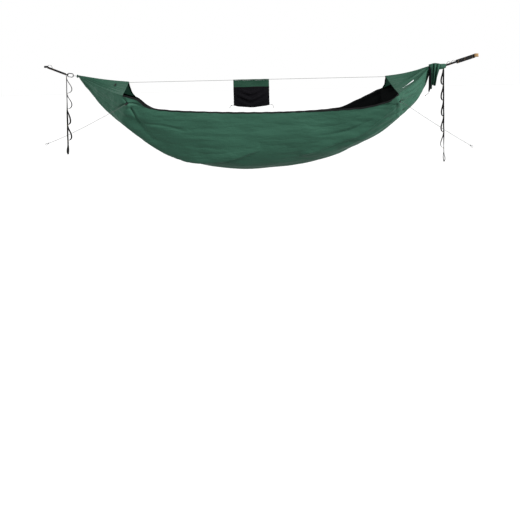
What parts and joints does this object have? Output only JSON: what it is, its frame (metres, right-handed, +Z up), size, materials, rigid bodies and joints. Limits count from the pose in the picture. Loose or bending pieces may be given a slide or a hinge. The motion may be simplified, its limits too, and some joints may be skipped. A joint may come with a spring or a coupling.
{
  "type": "camping hammock",
  "caption": "Gathered-end camping hammock with storm hoods, ridge line with sliding organizer, rolled bug net, guy lines, carabiners and daisy-chain tree straps.",
  "frame": {"origin": "centre of the left anchor eye, halfway up its webbing", "axes": "+X along the hammock toward the right anchor eye, +Z up along the anchor eye's axis, near side toward -Y"},
  "size_m": [3.259, 0.9836, 0.8244],
  "materials": {
    "black_webbing": "woven nylon webbing",
    "tan_webbing": "tan woven webbing with stitched edges",
    "tan_thread": "bonded polyester thread, bar tacks",
    "black_aluminium": "black anodised, satin",
    "steel": "stainless, lightly brushed",
    "green_ripstop": "ripstop nylon, soft sheen",
    "dark_green_ripstop": "bunched ripstop nylon",
    "black_lining": "ripstop nylon lining",
    "black_binding": "folded grosgrain binding",
    "grey_cord": "braided polyester cord",
    "black_mesh": "knitted net",
    "black_cord": "braided elastic cord",
    "reflective_tape": "plain reflective tape, no print"
  },
  "bodies": {
    "straps": {"left_anchor_eye": "black_webbing", "left_tree_strap": "black_webbing", "left_slack_loop": "black_webbing", "left_hang_loop": "black_webbing", "left_strap_tacks": "tan_thread", "left_carabiner_frame": "black_aluminium", "left_gate_pin": "steel", "right_anchor_eye": "tan_webbing", "right_tree_band": "black_webbing", "right_tree_strap": "black_webbing", "right_slack_loops": "black_webbing", "right_hang_loop": "black_webbing", "right_strap_tacks": "tan_thread", "right_carabiner_frame": "black_aluminium", "right_gate_pin": "steel"},
    "left_gate": {"left_gate": "steel"},
    "right_gate": {"right_gate": "steel"},
    "left_tail": {"left_tail_line": "black_webbing", "left_tail_loops": "black_webbing", "left_tail_tacks": "tan_thread"},
    "right_tail": {"right_tail_line": "black_webbing", "right_tail_loops": "black_webbing", "right_tail_tacks": "tan_thread"},
    "hammock": {"outer_shell": "green_ripstop", "inner_lining": "black_lining", "near_edge_binding": "black_binding", "far_edge_binding": "black_binding", "left_gather": "dark_green_ripstop", "left_whipping": "grey_cord", "left_rope_loop": "grey_cord", "right_gather": "dark_green_ripstop", "right_whipping": "grey_cord", "right_rope_loop": "grey_cord", "left_hood_near": "green_ripstop", "left_hood_far": "green_ripstop", "left_hood_binding": "black_binding", "right_hood_near": "green_ripstop", "right_hood_far": "green_ripstop", "right_hood_binding": "black_binding", "ridge_line": "grey_cord", "left_near_tie_tab": "black_webbing", "left_far_tie_tab": "black_webbing", "right_near_tie_tab": "black_webbing", "right_far_tie_tab": "black_webbing", "left_guy_line": "grey_cord", "right_guy_line": "grey_cord", "gear_loop": "black_webbing", "reflective_strip": "reflective_tape", "net_sleeve": "green_ripstop", "net_flap": "green_ripstop", "net_roll": "black_mesh"},
    "organizer_slider": {"organizer_channel": "green_ripstop"},
    "organizer": {"organizer_band": "green_ripstop", "organizer_back": "black_mesh", "organizer_pockets": "black_mesh", "organizer_binding": "black_binding", "organizer_hem_cord": "black_cord"}
  },
  "joints": [
    {"name": "hammock_swing", "type": "hinge", "parent": "straps", "child": "hammock", "pos_m": [0.2046, 0, -0.0706], "axis": [1, 0, 0.0028], "range_deg": [-30, 30]},
    {"name": "organizer_slide", "type": "slide", "parent": "hammock", "child": "organizer_slider", "axis": [1, 0, 0], "range_m": [-0.74, 0.83]},
    {"name": "organizer_swing", "type": "hinge", "parent": "organizer_slider", "child": "organizer", "pos_m": [1.536, 0, -0.131], "axis": [1, 0, 0], "range_deg": [-60, 60]},
    {"name": "left_gate_open", "type": "hinge", "parent": "straps", "child": "left_gate", "pos_m": [0.1724, 0, -0.0785], "axis": [0, -1, 0], "range_deg": [0, 24], "stiffness_Nm_per_rad": 0.006, "springref_deg": -11.46},
    {"name": "right_gate_open", "type": "hinge", "parent": "straps", "child": "right_gate", "pos_m": [2.9585, 0, -0.076], "axis": [0, 1, 0], "range_deg": [0, 24], "stiffness_Nm_per_rad": 0.006, "springref_deg": -11.46},
    {"name": "left_tail_swing", "type": "hinge", "parent": "straps", "child": "left_tail", "pos_m": [0.152, 0, -0.0714], "axis": [0.4695, 0.8829, 0], "range_deg": [-25, 25]},
    {"name": "right_tail_swing", "type": "hinge", "parent": "straps", "child": "right_tail", "pos_m": [2.98, 0, -0.0714], "axis": [0.4695, -0.8829, 0], "range_deg": [-14, 25]}
  ]
}
